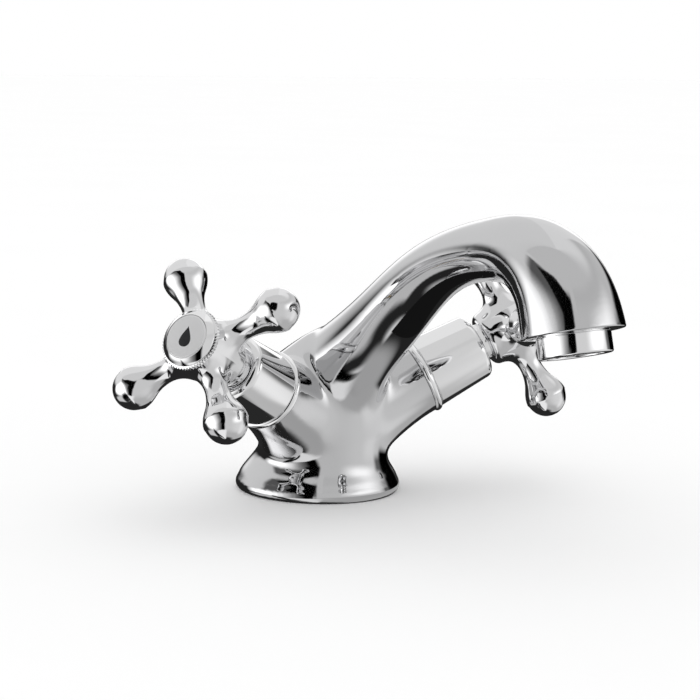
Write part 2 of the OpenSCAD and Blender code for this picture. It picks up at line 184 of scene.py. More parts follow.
def line_map():
    """For every point of the grid, the nearest place along the line."""
    y, z = np.meshgrid(*(np.arange(a, b, 1.0) for a, b in zip(MAP_LOW, MAP_HIGH)), indexing="ij")
    s = np.linspace(0, LINE.knots[-1], MAP_STEPS)
    on_line = LINE(s)[0][:, :2]
    nearest = [((row[:, None, :] - on_line) ** 2).sum(-1).argmin(1) for row in np.stack([y, z], -1)]
    return s[np.array(nearest)]


NEAREST = line_map()


def tube_field(p):
    """Distance, near the surface, from the elliptical tube around the middle line."""
    cell = np.rint(p[:, 1:] - MAP_LOW).astype(int)
    s = NEAREST[tuple(np.clip(cell, 0, np.array(NEAREST.shape) - 1).T)]
    for _ in range(3):
        value, slope, bend = LINE(s)
        off = value[:, :2] - p[:, 1:]
        speed = (slope[:, :2] ** 2).sum(1)
        step = (off * slope[:, :2]).sum(1) / np.maximum(speed + (off * bend[:, :2]).sum(1), 0.3 * speed)
        s = np.clip(s - step, 0, LINE.knots[-1])
    value, slope, _ = LINE(s)
    along = slope[:, :2] / np.linalg.norm(slope[:, :2], axis=1)[:, None]
    off = p[:, 1:] - value[:, :2]
    across = off[:, 0] * along[:, 1] - off[:, 1] * along[:, 0]
    wide, thick = value[:, 2], value[:, 3]
    ratio = np.hypot(p[:, 0] / wide, across / thick)
    scale = np.hypot(p[:, 0] / wide ** 2, across / thick ** 2)
    return ratio * (ratio - 1) / np.maximum(scale, 1e-6)


def blend(a, b, size):
    """Union of two fields with a fillet about size across."""
    h = np.maximum(size - np.abs(a - b), 0) / size
    return np.minimum(a, b) - h ** 3 * size / 6


def boss_field(p, valve):
    """A valve boss, which narrows in a hollow curve and runs on past its end face."""
    local = valve.local(p)
    r = np.hypot(local[:, 0], local[:, 1])
    t = np.clip((local[:, 2] - BOSS_START) / (BOSS_END - BOSS_START), 0, 1)
    drop = BOSS_ROOT_R - BOSS_END_R
    slope = BOSS_CURVE * drop / (BOSS_END - BOSS_START) * (1 - t) ** (BOSS_CURVE - 1)
    side = (r - BOSS_END_R - drop * (1 - t) ** BOSS_CURVE) / np.sqrt(1 + slope ** 2)
    return -blend(-side, local[:, 2] - BOSS_FLOOR, BOSS_HEEL)


def foot_field(p):
    """A round-edged disc that carries a nearly straight flare."""
    r = np.hypot(p[:, 0], p[:, 1])
    z = p[:, 2]
    disc = np.hypot(np.maximum(r - FOOT_R + FOOT_EDGE, 0), z - FOOT_EDGE + FOOT_CUT) - FOOT_EDGE
    cone = (r - FLARE_R + FLARE_SLOPE * (z - FLARE_Z)) / math.hypot(1, FLARE_SLOPE)
    flare = np.maximum(-blend(-cone, FOOT_R - FLARE_INSET - r, FLARE_EDGE), FLARE_START - z)
    return blend(disc, flare, RIM_BLEND)


def ease(value, start, end):
    """0 before start, 1 after end, and a smooth step between."""
    t = np.clip((value - start) / (end - start), 0, 1)
    return t * t * (3 - 2 * t)


def body_field(p):
    """The whole casting: tight creases in front of the bosses, a full fillet behind the neck."""
    whole = blend(tube_field(p), foot_field(p), FOOT_BLEND)
    behind = ease(p[:, 1], NECK_FRONT, NECK_BACK) * ease(p[:, 2], NECK_LOW, NECK_HIGH)
    size = BOSS_BLEND + NECK_FILLET * behind
    for side in SIDES:
        whole = blend(whole, boss_field(p, VALVES[side]), size)
    return whole


def slopes_of(field, points, reach=0.02):
    """The field's value and its gradient at points."""
    gradient = np.empty_like(points)
    for axis in range(3):
        step = np.zeros(3)
        step[axis] = reach
        gradient[:, axis] = (field(points + step) - field(points - step)) / (2 * reach)
    return field(points), gradient


def surface_net(field, low, high, step):
    """Points and quads of the surface where field is zero, inside a box, each point moved onto it."""
    low = np.array(low, float)
    counts = np.ceil((np.array(high) - low) / step).astype(int) + 1
    axes = [low[a] + step * np.arange(counts[a]) for a in range(3)]
    y, z = (g.ravel() for g in np.meshgrid(axes[1], axes[2], indexing="ij"))
    value = np.array([field(np.stack([np.full_like(y, x), y, z], -1)) for x in axes[0]]).reshape(counts)
    inside = value < 0
    cells = tuple(counts - 1)
    total, hits = np.zeros((*cells, 3)), np.zeros(cells)
    edges = []
    for axis in range(3):
        u, v = (axis + 1) % 3, (axis + 2) % 3
        near, far = [slice(None)] * 3, [slice(None)] * 3
        near[axis], far[axis] = slice(0, -1), slice(1, None)
        first, last = value[tuple(near)], value[tuple(far)]
        crossed = inside[tuple(near)] != inside[tuple(far)]
        place = np.where(crossed, first / np.where(crossed, first - last, 1), 0)
        edges.append((crossed, inside[tuple(near)]))
        for du in (0, 1):
            for dv in (0, 1):
                part = [slice(None)] * 3
                part[u], part[v] = slice(du, du + cells[u]), slice(dv, dv + cells[v])
                hit = crossed[tuple(part)]
                total[..., axis] += place[tuple(part)]
                total[..., u] += hit * du
                total[..., v] += hit * dv
                hits += hit
    used = hits > 0
    index = np.full(cells, -1)
    index[used] = np.arange(used.sum())
    points = low + step * (np.argwhere(used) + total[used] / hits[used][:, None])
    quads = []
    for axis, (crossed, starts_inside) in enumerate(edges):
        u, v = np.eye(3, dtype=int)[(axis + 1) % 3], np.eye(3, dtype=int)[(axis + 2) % 3]
        found = np.argwhere(crossed)
        found = found[((found > 0) & (found < cells)).all(1)]
        ring = [index[tuple((found - shift).T)] for shift in (u + v, v, 0 * u, u)]
        quad = np.stack(ring, 1)
        flip = ~starts_inside[tuple(found.T)]
        quad[flip] = quad[flip][:, ::-1]
        quads.append(quad)
    for _ in range(3):
        f, g = slopes_of(field, points)
        points = points - g * (f / np.maximum((g ** 2).sum(1), 0.1))[:, None].clip(-step, step)
    return points, np.concatenate(quads)


# --- meshes ------------------------------------------------------------------
CREASE = math.radians(32)
ROUND = 160  # sides of a turned piece


def add_object(name, mesh, material):
    obj = bpy.data.objects.new(name, mesh)
    bpy.context.scene.collection.objects.link(obj)
    mesh.materials.append(material)
    mesh.shade_smooth()
    mesh.set_sharp_from_angle(angle=CREASE)
    return obj


def mesh_from(name, points, faces, material):
    mesh = bpy.data.meshes.new(name)
    mesh.from_pydata((np.asarray(points) * MM).tolist(), [], [list(f) for f in faces])
    mesh.validate()
    return add_object(name, mesh, material)


def rounded(corners, steps=6):
    """An outline from corners of [radius, height, rounding], each rounded corner as an arc."""
    outline = []
    n = len(corners)
    for i, (r, z, size) in enumerate(corners):
        here = np.array([r, z], float)
        if size == 0:
            outline.append(here)
            continue
        before = unit(np.array(corners[i - 1][:2]) - here)
        after = unit(np.array(corners[(i + 1) % n][:2]) - here)
        half = math.acos(np.clip(before @ after, -1, 1)) / 2
        centre = here + unit(before + after) * size / math.sin(half)
        start, end = here + before * size / math.tan(half), here + after * size / math.tan(half)
        a, b = start - centre, end - centre
        side = np.array([-a[1], a[0]])
        turn = math.atan2(side @ b, a @ b)
        for k in range(steps + 1):
            q = turn * k / steps
            outline.append(centre + a * math.cos(q) + side * math.sin(q))
    return np.array(outline)


def turned_piece(name, outline, place, material, teeth=0, tooth=0.0, between=(0, 0), sides=ROUND):
    """A solid of revolution about a place's Z from a closed outline of [radius, height].

    Between two heights its radius may carry a number of teeth of the given height.
    """
    outline = np.array(outline, float)
    on_axis = outline[:, 0] < 1e-6
    angle = 2 * np.pi * np.arange(sides) / sides
    points, rows = [], []
    for (r, z), central in zip(outline, on_axis, strict=True):
        if central:
            rows.append([len(points)] * sides)
            points.append([0, 0, z])
            continue
        toothed = between[0] <= z <= between[1]
        width = r + toothed * tooth * np.cos(teeth * angle)
        rows.append(list(range(len(points), len(points) + sides)))
        points += np.stack([width * np.cos(angle), width * np.sin(angle), np.full(sides, z)], -1).tolist()
    faces = []
    for i in range(len(outline)):
        j = (i + 1) % len(outline)
        if on_axis[i] and on_axis[j]:
            continue
        for k in range(sides):
            m = (k + 1) % sides
            face = [rows[i][k], rows[i][m], rows[j][m], rows[j][k]]
            faces.append(list(dict.fromkeys(face)))
    obj = mesh_from(name, place.world(points), faces, material)
    fix_normals(obj.data)
    return obj


def fix_normals(mesh):
    bm = bmesh.new()
    bm.from_mesh(mesh)
    bmesh.ops.recalc_face_normals(bm, faces=bm.faces)
    bm.to_mesh(mesh)
    bm.free()
    mesh.set_sharp_from_angle(angle=CREASE)


class Shaper:
    """A bmesh in millimetres with the cuts and caps that the cast pieces need."""

    def __init__(self, points, quads):
        mesh = bpy.data.meshes.new("skin")
        mesh.from_pydata(points.tolist(), [], quads.tolist())
        self.bm = bmesh.new()
        self.bm.from_mesh(mesh)
        bpy.data.meshes.remove(mesh)

    def cut(self, place, height, near=None):
        """Cuts away what lies above height along a place's Z, and returns the rim's edges.

        Only the faces whose centres near accepts are cut.
        """
        faces = list(self.bm.faces)
        if near is not None:
            centres = np.array([f.calc_center_median() for f in faces])
            faces = [f for f, keep in zip(faces, near(centres), strict=True) if keep]
        # each part once, in the order found, so that the mesh comes out the same every time
        parts = dict.fromkeys(part for f in faces for part in (*f.edges, *f.verts, f))
        level = Vector(place.world([0, 0, height]))
        out = bmesh.ops.bisect_plane(self.bm, geom=list(parts), plane_co=level,
                                     plane_no=Vector(place.axes[2]), clear_outer=True, dist=1e-5)
        return [e for e in out["geom_cut"] if isinstance(e, bmesh.types.BMEdge)]

    def roll(self, edges, place, size, steps=4):
        """Carries a rim round a small convex edge of the given size, up along the place's Z and in."""
        out = edges
        for k in range(1, steps + 1):
            was, now = math.pi / 2 * (k - 1) / steps, math.pi / 2 * k / steps
            rise, inward = size * (math.sin(now) - math.sin(was)), size * (math.cos(was) - math.cos(now))
            made = bmesh.ops.extrude_edge_only(self.bm, edges=out)["geom"]
            out = [e for e in made if isinstance(e, bmesh.types.BMEdge) and len(e.link_faces) == 1]
            verts = list(dict.fromkeys(v for e in out for v in e.verts))
            local = place.local(np.array([v.co for v in verts]))
            r = np.hypot(local[:, 0], local[:, 1])
            local[:, :2] *= ((r - inward) / r)[:, None]
            local[:, 2] += rise
            for v, co in zip(verts, place.world(local), strict=True):
                v.co = co
        return out

    def circle(self, place, r, z, sides=96):
        angle = 2 * np.pi * np.arange(sides) / sides
        points = place.world(np.stack([r * np.cos(angle), r * np.sin(angle), np.full(sides, z)], -1))
        verts = [self.bm.verts.new(p) for p in points]
        return verts, [self.bm.edges.new((verts[k], verts[(k + 1) % sides])) for k in range(sides)]

    def fill(self, edges):
        return bmesh.ops.triangle_fill(self.bm, use_beauty=True, use_dissolve=False, edges=edges)

    def turned_wall(self, place, outline, sides=96, close=True):
        """Walls from one circle to the next. Returns the first and the last circle's edges."""
        rings = [self.circle(place, r, z, sides) for r, z in outline]
        for (a, _), (b, _) in zip(rings, rings[1:]):
            for k in range(sides):
                m = (k + 1) % sides
                self.bm.faces.new((a[k], a[m], b[m], b[k]))
        if close:
            self.bm.faces.new(rings[-1][0])
        return rings[0][1], rings[-1][1]

    def finish(self, name, material):
        loose = [v for v in self.bm.verts if not v.link_faces]
        bmesh.ops.delete(self.bm, geom=loose, context="VERTS")
        bmesh.ops.recalc_face_normals(self.bm, faces=self.bm.faces)
        bmesh.ops.scale(self.bm, vec=(MM, MM, MM), verts=self.bm.verts)
        mesh = bpy.data.meshes.new(name)
        self.bm.to_mesh(mesh)
        self.bm.free()
        return add_object(name, mesh, material)


# --- materials ---------------------------------------------------------------
def new_material(name, colour, metallic, roughness):
    """A Principled material with its constant values set, and its parts for adding to."""
    material = bpy.data.materials.new(name)
    material.use_nodes = True
    tree = material.node_tree
    shader = tree.nodes["Principled BSDF"]
    shader.inputs["Base Color"].default_value = (*colour, 1)
    shader.inputs["Metallic"].default_value = metallic
    shader.inputs["Roughness"].default_value = roughness
    return material, tree, shader


def noise(tree, scale, detail=3.0, stretch=(1, 1, 1)):
    """A noise over the piece's own coordinates, with scale in features per metre."""
    place = tree.nodes.new("ShaderNodeTexCoord")
    squeeze = tree.nodes.new("ShaderNodeMapping")
    squeeze.inputs["Scale"].default_value = stretch
    texture = tree.nodes.new("ShaderNodeTexNoise")
    texture.inputs["Scale"].default_value = scale
    texture.inputs["Detail"].default_value = detail
    tree.links.new(place.outputs["Object"], squeeze.inputs["Vector"])
    tree.links.new(squeeze.outputs["Vector"], texture.inputs["Vector"])
    return texture.outputs["Fac"]


def ranged(tree, value, low, high, start=0.3, end=0.7):
    node = tree.nodes.new("ShaderNodeMapRange")
    node.inputs["From Min"].default_value = start
    node.inputs["From Max"].default_value = end
    node.inputs["To Min"].default_value = low
    node.inputs["To Max"].default_value = high
    tree.links.new(value, node.inputs["Value"])
    return node.outputs["Result"]


def tinted(tree, value, dark, light):
    """A colour between dark and light, by a value from 0 to 1."""
    ramp = tree.nodes.new("ShaderNodeValToRGB")
    ramp.color_ramp.elements[0].color = (*dark, 1)
    ramp.color_ramp.elements[1].color = (*light, 1)
    ramp.color_ramp.elements[0].position = 0.3
    ramp.color_ramp.elements[1].position = 0.7
    tree.links.new(value, ramp.inputs["Fac"])
    return ramp.outputs["Color"]


def bumped(tree, shader, layers):
    """Adds bumps from (height value, depth in millimetres) layers."""
    normal = None
    for height, depth in layers:
        bump = tree.nodes.new("ShaderNodeBump")
        bump.inputs["Distance"].default_value = depth * MM
        tree.links.new(height, bump.inputs["Height"])
        if normal is not None:
            tree.links.new(normal, bump.inputs["Normal"])
        normal = bump.outputs["Normal"]
    tree.links.new(normal, shader.inputs["Normal"])


def chrome(name, colour, low, high, wave, metallic=1.0):
    """Polished chrome plate: a faint haze that comes and goes, and the slow waves of a casting."""
    material, tree, shader = new_material(name, colour, metallic, low)
    tree.links.new(ranged(tree, noise(tree, 45, 5), low, high), shader.inputs["Roughness"])
    light = tuple(min(1.0, c * 1.03) for c in colour)
    tree.links.new(tinted(tree, noise(tree, 25, 4), colour, light), shader.inputs["Base Color"])
    bumped(tree, shader, [(noise(tree, 40, 1), wave), (noise(tree, 2600, 2), 0.0004)])
    return material


# Three copies of one chrome plate. Their haze and casting waves differ for real, but their base colours are
# painted shade and light: the body's is darker, and the turned trim's and the handles' are lighter, to give each
# part its brightness under the lights.
CHROME_BODY_PAINTED_DARK = chrome("chrome_casting_painted_dark", (0.62, 0.62, 0.627), 0.03, 0.07, 0.03)
CHROME_TRIM_PAINTED_LIGHT = chrome("chrome_turned_painted_light", (0.86, 0.86, 0.865), 0.03, 0.06, 0.006)
CHROME_HANDLE_PAINTED_LIGHT = chrome("chrome_handle", (0.77, 0.77, 0.777), 0.03, 0.06, 0.02)
CHROME_SATIN = chrome("chrome_satin", (0.74, 0.74, 0.745), 0.35, 0.45, 0.002, 0.55)


def plain(name, colour, shade, roughness, metallic, grain, depth):
    """Brass, steel, rubber, ceramic or plastic: mottled in colour and gloss, with a fine grain."""
    material, tree, shader = new_material(name, colour, metallic, roughness)
    tree.links.new(tinted(tree, noise(tree, grain * 0.1, 4), shade, colour), shader.inputs["Base Color"])
    gloss = ranged(tree, noise(tree, grain * 0.3), roughness * 0.85, roughness * 1.2)
    tree.links.new(gloss, shader.inputs["Roughness"])
    bumped(tree, shader, [(noise(tree, grain, 3), depth)])
    return material


BRASS = plain("machined_brass", (0.72, 0.53, 0.24), (0.60, 0.42, 0.17), 0.28, 1.0, 1500, 0.004)
STEEL = plain("stainless_steel", (0.60, 0.61, 0.62), (0.50, 0.51, 0.53), 0.25, 1.0, 1500, 0.003)
RUBBER = plain("black_rubber", (0.030, 0.030, 0.031), (0.018, 0.018, 0.019), 0.62, 0.0, 900, 0.02)
CERAMIC = plain("white_ceramic", (0.86, 0.85, 0.82), (0.80, 0.79, 0.75), 0.18, 0.0, 2000, 0.002)
PLASTIC = plain("white_plastic", (0.70, 0.70, 0.69), (0.62, 0.62, 0.61), 0.42, 0.0, 900, 0.006)
ENAMEL = plain("black_enamel", (0.022, 0.022, 0.024), (0.012, 0.012, 0.013), 0.22, 0.0, 1200, 0.003)


# --- body ----------------------------------------------------------------------
GRID, GRID_MARGIN = 1.0, 3.3
GASKET_GROOVE = 3.4
THREAD_CHAMFER, THREAD_PITCH, THREAD_DEPTH = 0.5, 1.0, 0.45
OUTLET_ROLL = 0.5
OUTLET_BACK = -100  # only what lies further forward is cut off at the outlet
CUT_REACH = 20
OUTLET_NECK_R, OUTLET_CHAMFER = 11.5, 0.3
OUTLET_CLEAR = 0.1  # between the aerator's shell and the end of its bore
# A boss's chamber: the mouth's radius and depth, the headwork's radius and seat, the port's radius and end
MOUTH_R, MOUTH_DEPTH = 12.1, 1.5
CHAMBER_R, CHAMBER_SEAT = 10.3, 22
PORT_R, PORT_END = 4.6, 16


def thread(r, start, end):
    """An outline of ridges along a bore's wall, from its mouth inwards."""
    turns = int((end - start) / THREAD_PITCH)
    return [[r + THREAD_DEPTH * (k % 2), -start - THREAD_PITCH * k / 2] for k in range(2 * turns + 1)]


def make_body():
    low, high = (np.array(corner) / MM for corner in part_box("body"))
    points, quads = surface_net(body_field, low - GRID_MARGIN, high + GRID_MARGIN, GRID)
    skin = Shaper(points, quads)

    # the foot's underside, with the gasket's groove, the stud's hole and the two inlets
    floor = Place([0, 0, 0], np.array([1.0, 0, 0]), -UP)
    rim = skin.cut(floor, 0)
    _, _, gasket_r = span("base_gasket", floor)
    gasket_h = np.array(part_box("base_gasket")[1])[2] / MM
    groove_r = gasket_r - GASKET_GROOVE
    outer, rims = skin.turned_wall(floor, [[gasket_r, 0], [gasket_r, -gasket_h],
                                           [groove_r, -gasket_h], [groove_r, 0]], close=False)
    skin.fill(rim + outer)
    for mount in frame["record"]["mounts"]:
        if mount["kind"] != "threaded_hole":
            continue
        x, y, _ = np.array(mount["pos_m"]) / MM
        mouth = Place([x, y, 0], np.array([1.0, 0, 0]), -UP)
        bore_r, depth = mount["dims"]["r_mm"], mount["dims"]["length_mm"]
        wall = [[bore_r + THREAD_CHAMFER, 0], *thread(bore_r, THREAD_CHAMFER, depth)]
        edge, _ = skin.turned_wall(mouth, wall, sides=48)
        rims = rims + edge
    skin.fill(rims)

    # the spout's end: a small rolled edge and a flat rim around the aerator's thread
    down = Place(OUTLET.origin, OUTLET.axes[0], -OUTLET.axes[2])

    def near_outlet(c):
        return (down.local(c)[:, 2] > -CUT_REACH) & (c[:, 1] < OUTLET_BACK)

    rim = skin.roll(skin.cut(down, -OUTLET_ROLL, near_outlet), down, OUTLET_ROLL)
    _, top, _ = span("aerator_shell", OUTLET)
    mouth, _ = skin.turned_wall(down, [
        [OUTLET_NECK_R + OUTLET_CHAMFER, 0], [OUTLET_NECK_R, -OUTLET_CHAMFER],
        [OUTLET_NECK_R, -top - OUTLET_CLEAR]])
    skin.fill(rim + mouth)

    # each valve boss: a flat end face and the stepped chamber that takes the headwork
    for side in SIDES:
        valve = VALVES[side]

        def near_boss(c, valve=valve):
            x, y, z = valve.local(c).T
            return (z > BOSS_END - CUT_REACH / 2) & (np.hypot(x, y) < CUT_REACH)

        rim = skin.cut(valve, BOSS_END, near_boss)
        step = BOSS_END - MOUTH_DEPTH
        mouth, _ = skin.turned_wall(valve, [
            [MOUTH_R, BOSS_END], [MOUTH_R, step], [CHAMBER_R, step], [CHAMBER_R, CHAMBER_SEAT],
            [PORT_R, CHAMBER_SEAT], [PORT_R, PORT_END]])
        skin.fill(rim + mouth)

    obj = skin.finish("faucet_body", CHROME_BODY_PAINTED_DARK)
    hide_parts("body")
    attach(obj, "faucet")


# --- aerator --------------------------------------------------------------------
SHELL_GAP = 0.35  # between the shell's shoulder and the spout's rim
SHELL_THREAD_R, SHELL_BORE_R, SHELL_LIP_R = 11.4, 9.9, 9.2


def make_aerator():
    low, high, r = span("aerator_shell", OUTLET)
    outline = rounded([
        [SHELL_LIP_R, low, 0.3], [r, low, 0.7], [r, -SHELL_GAP, 0.15], [SHELL_THREAD_R, -SHELL_GAP, 0],
        [SHELL_THREAD_R, high, 0], [SHELL_BORE_R, high, 0], [SHELL_BORE_R, low + 1.6, 0],
        [SHELL_LIP_R, low + 0.9, 0]])
    shell = turned_piece("aerator_housing", outline, OUTLET, CHROME_TRIM_PAINTED_LIGHT)
    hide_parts("aerator_shell")
    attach(shell, "faucet")


# --- still parts of each valve -----------------------------------------------------
COLLAR_BORE_R, NUT_BORE_R = 11.4, 6.05
COLLAR_ROUND = 0.98  # of a full half-round edge
BONNET_END_R, BONNET_WALL, BONNET_BORE_R = 12.2, 1.3, 6.2


def make_valve(side):
    """The collar, the conical shroud and the gland nut, each turned from its own outline."""
    valve = VALVES[side]
    low, high, r = span(f"{side}_collar_ring", valve)
    edge = (high - low) / 2 * COLLAR_ROUND
    collar = rounded([
        [COLLAR_BORE_R, low, 0], [r, low, edge], [r, high, edge], [COLLAR_BORE_R, high, 0]], 12)
    low, high, r = span(f"{side}_bonnet", valve)
    shroud = rounded([
        [r - BONNET_WALL, low, 0.2], [r, low, 0.35], [BONNET_END_R, high, 2.6], [BONNET_BORE_R, high, 0.3],
        [BONNET_BORE_R, high - BONNET_WALL, 0], [BONNET_END_R - BONNET_WALL, high - BONNET_WALL, 0.8]], 10)
    low, high, r = span(f"{side}_lock_nut", valve)
    nut = rounded([[NUT_BORE_R, low, 0], [r, low, 0.2], [r, high, 0.5], [NUT_BORE_R, high, 0.2]])
    for name, node, outline in (("collar", "collar_ring", collar), ("shroud", "bonnet", shroud),
                                ("gland_nut", "lock_nut", nut)):
        piece = turned_piece(f"{side}_{name}", outline, valve, CHROME_TRIM_PAINTED_LIGHT)
        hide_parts(f"{side}_{node}")
        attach(piece, "faucet")


# --- handles --------------------------------------------------------------------------
HUB_R, HUB_EDGE = 10.0, 2.2
NECK_R, NECK_REACH = 3.9, 14.5
BALL_R = 7.4
NECK_SWELL = 0.82  # of the way to the ball's radius
HUB_BLEND, BALL_BLEND = 11, 4
ARMS = 4
HANDLE_GRID = 0.6
SEAT_R, SEAT_DEPTH = 8.2, 3


def handle_place(side):
    """The handle's own frame, with an arm along X and the arms' plane at Z = 0, and an arm's reach."""
    mesh = frame["nodes"][f"{side}_handle"].data
    centres, areas = np.empty(len(mesh.polygons) * 3), np.empty(len(mesh.polygons))
    mesh.polygons.foreach_get("center", centres)
    mesh.polygons.foreach_get("area", areas)
    local = VALVES[side].local(centres.reshape(-1, 3) / MM)
    r = np.hypot(local[:, 0], local[:, 1])
    reach = np.hypot(*VALVES[side].local(node_points(f"{side}_handle"))[:, :2].T).max() - BALL_R
    ends = r > reach - BALL_R / 3
    angle = np.arctan2(local[ends, 1], local[ends, 0]) * ARMS
    phase = math.atan2((areas[ends] * np.sin(angle)).sum(), (areas[ends] * np.cos(angle)).sum()) / ARMS
    plane = (areas[ends] * local[ends, 2]).sum() / areas[ends].sum()
    return VALVES[side].turned(phase, plane), reach


def make_handle(side, shared):
    place, reach = handle_place(side)
    rear, front, _ = span(f"{side}_handle", place)

    def field(p):
        x, y, z = p.T
        out = np.maximum(np.hypot(x, y) - HUB_R + HUB_EDGE, 0)
        hub = np.hypot(out, np.maximum(rear + HUB_EDGE - z, 0)) - HUB_EDGE
        arms = []
        for s, across in ((np.abs(x), y), (np.abs(y), x)):
            rho = np.hypot(across, z)
            t = np.clip((s - NECK_REACH) / (reach - NECK_REACH), 0, 1)
            swell = NECK_R + (BALL_R - NECK_R) * NECK_SWELL * t * t * (1.9 - 0.9 * t)
            neck = np.maximum(rho - swell, s - reach + 1)
            ball = np.hypot(rho, s - reach) - BALL_R
            arms.append(blend(neck, ball, BALL_BLEND))
        return blend(hub, np.minimum(*arms), HUB_BLEND)

    if "mesh" not in shared:
        half = reach + BALL_R + 1
        points, quads = surface_net(field, [-half, -half, rear - 2], [half, half, front + 2], HANDLE_GRID)
        shared["mesh"] = points, quads
    points, quads = shared["mesh"]
    skin = Shaper(place.world(points), quads)
    rim = skin.cut(place, front, lambda c: place.local(c)[:, 2] > front - SEAT_DEPTH)
    mouth, _ = skin.turned_wall(place, [[SEAT_R, front], [SEAT_R, front - SEAT_DEPTH]])
    skin.fill(rim + mouth)
    obj = skin.finish(f"{side}_cross_handle", CHROME_HANDLE_PAINTED_LIGHT)
    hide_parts(f"{side}_handle")
    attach(obj, BODY[side])
    return place


BEZEL_BASE = 2.42  # height of the teeth above the underside
KNURL_H, KNURL_TEETH, KNURL_DEPTH = 1.5, 60, 0.2
BEZEL_FACE_R, BEZEL_BORE_R = 10.1, 7.95
CAP_EDGE, CAP_DOME, CAP_H = 0.25, 0.05, 1.9


def make_index(side, place):
    """The toothed bezel and the cap on the handle's hub, with a plain drop in black enamel."""
    low, _, r = span(f"{side}_index_bezel", place)
    _, cap_top, cap_r = span(f"{side}_index_cap", place)
    base = low + BEZEL_BASE
    knurl_top = base + KNURL_H
    tooth_r = r - KNURL_DEPTH
    outline = [
        *rounded([[cap_r - 0.8, low, 0], [cap_r - 0.8, base + 2, 0], [cap_r + 0.05, base + 2, 0],
                  [cap_r + 0.05, cap_top - 0.3, 0], [cap_r + 0.35, cap_top - 0.25, 0.1],
                  [BEZEL_FACE_R, knurl_top + 0.55, 0.3], [BEZEL_FACE_R - 0.2, knurl_top + 0.2, 0.1]], 3),
        [tooth_r - 0.15, knurl_top], [tooth_r, knurl_top - 0.15],
        [tooth_r, base + 0.15], [tooth_r - 0.15, base],
        [BEZEL_BORE_R, base], [BEZEL_BORE_R, low]]
    bezel = turned_piece(f"{side}_toothed_bezel", outline, place, CHROME_TRIM_PAINTED_LIGHT, teeth=KNURL_TEETH,
                         tooth=KNURL_DEPTH, between=(base + 0.1, knurl_top - 0.1), sides=8 * KNURL_TEETH)
    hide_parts(f"{side}_index_bezel")

    dome_r = cap_r - CAP_EDGE

    def top(q):
        return cap_top - CAP_DOME * (q / dome_r) ** 2

    bottom = cap_top - CAP_H
    cap = turned_piece(f"{side}_cap_disc", [
        [0, bottom], [cap_r, bottom], [cap_r, top(dome_r) - 0.2],
        *[[q, top(q)] for q in dome_r * np.linspace(1, 0, 9)]], place, CHROME_SATIN)
    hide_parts(f"{side}_index_cap")

    drop = make_drop(f"{side}_index_drop", place, top)
    for piece in (bezel, cap, drop):
        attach(piece, BODY[side])


DROP_SIZE, DROP_STEPS, DROP_RINGS = 3.2, 64, 8
DROP_PROUD, DROP_SUNK = 0.06, 0.1


def make_drop(name, place, top):
    """A thin enamel drop on the cap, point upwards when the piece stands as made."""
    up = place.axes @ unit(UP - place.axes[2] * place.axes[2][2])
    across = np.array([-up[1], up[0], 0])
    bm = bmesh.new()
    angle = 2 * np.pi * np.arange(DROP_STEPS) / DROP_STEPS
    # a circle whose upper half is drawn out to a point
    x = DROP_SIZE * np.sin(angle) * np.sin(angle / 2) ** 1.5
    y = DROP_SIZE * 1.15 * np.cos(angle)
    edge = np.outer(x, across) + np.outer(y, up)

    def ring(share, height):
        flat = edge * share
        flat[:, 2] = top(np.hypot(flat[:, 0], flat[:, 1])) + height
        return [bm.verts.new(p * MM) for p in place.world(flat)]

    shares = [k / DROP_RINGS for k in range(DROP_RINGS, 0, -1)]
    under = ring(1, -DROP_SUNK)
    layers = [ring(share, DROP_PROUD * math.sqrt(1 - share ** 4 * 0.9)) for share in shares]
    centre = bm.verts.new(place.world([0, 0, top(0) + DROP_PROUD]) * MM)
    for a, b in zip([under, *layers], layers):
        for k in range(DROP_STEPS):
            m = (k + 1) % DROP_STEPS
            bm.faces.new((a[k], a[m], b[m], b[k]))
    for k in range(DROP_STEPS):
        bm.faces.new((layers[-1][k], layers[-1][(k + 1) % DROP_STEPS], centre))
    bm.faces.new(under[::-1])
    bmesh.ops.recalc_face_normals(bm, faces=bm.faces)
    mesh = bpy.data.meshes.new(name)
    bm.to_mesh(mesh)
    bm.free()
    return add_object(name, mesh, ENAMEL)


# --- the parts that keep their CAD shape ------------------------------------------------
CAD_FINISHES = {
    "headwork_oring": RUBBER, "spindle_orings": RUBBER, "seat_seal": RUBBER, "base_gasket": RUBBER,
    "aerator_washer": RUBBER, "aerator_insert": PLASTIC, "headwork": BRASS, "spindle": BRASS,
    "disc": CERAMIC, "circlip": STEEL, "handle_screw": STEEL,
}


def finish_cad_nodes():
    for name, obj in frame["nodes"].items():
        if obj.hide_render:
            continue
        finish = next(m for part, m in CAD_FINISHES.items() if part in name)
        obj.data.materials.clear()
        obj.data.materials.append(finish)
        obj.data.shade_smooth()
        obj.data.set_sharp_from_angle(angle=CREASE)


# --- camera, floor and light ---------------------------------------------------------------
CAMERA_AZIMUTH, CAMERA_HEIGHT, CAMERA_ROLL = -36.04, 8.31, 1.28  # degrees
CAMERA_DISTANCE, CAMERA_LENS = 800, 111.9
AIM_ACROSS, AIM_UP = 10.93, 51.8


